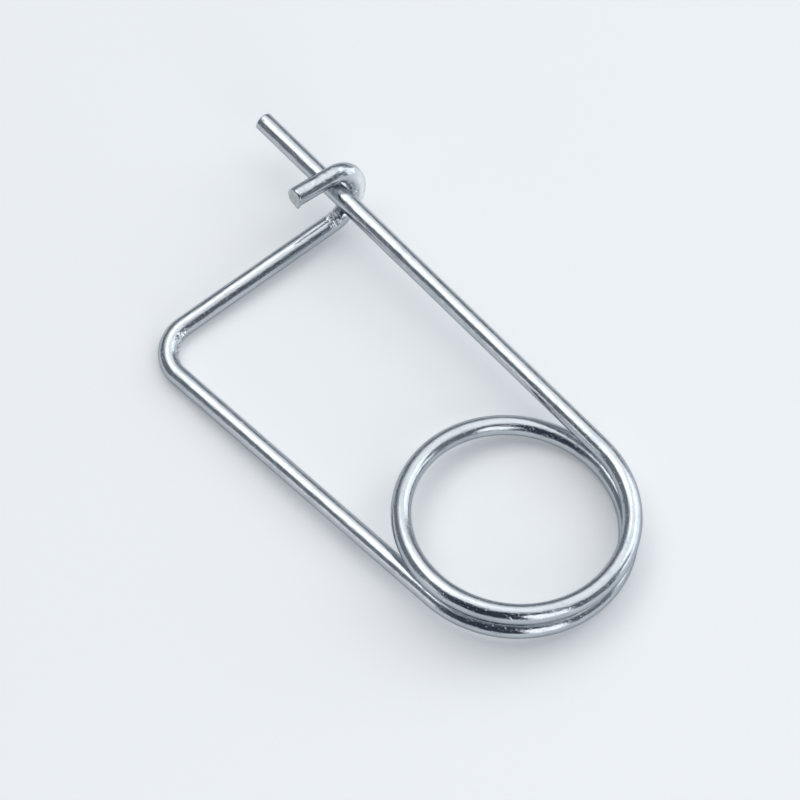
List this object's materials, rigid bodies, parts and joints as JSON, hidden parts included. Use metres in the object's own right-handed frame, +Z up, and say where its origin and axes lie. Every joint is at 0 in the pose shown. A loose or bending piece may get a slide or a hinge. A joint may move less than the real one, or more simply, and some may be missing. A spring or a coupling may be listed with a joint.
{
  "type": "coil safety cotter pin",
  "caption": "Coiled round-wire safety cotter pin, closed: a straight pin leg, a spring coil, a back leg, a cross arm and a hook that locks over the pin leg.",
  "frame": {"origin": "centre of the bounding box on the floor plane that the resting pin touches", "axes": "+X along the pin's length from the coil towards the pin leg's tip, +Y from the pin leg towards the back leg, +Z up off the floor that it lies on"},
  "size_m": [0.157, 0.0722, 0.0223],
  "materials": {
    "plated_wire": "bright zinc plate on drawn spring steel wire, satin with fine drawn lines, matt grey on the two cut ends"
  },
  "bodies": {
    "root": {"cotter_pin": "plated_wire"}
  },
  "joints": []
}
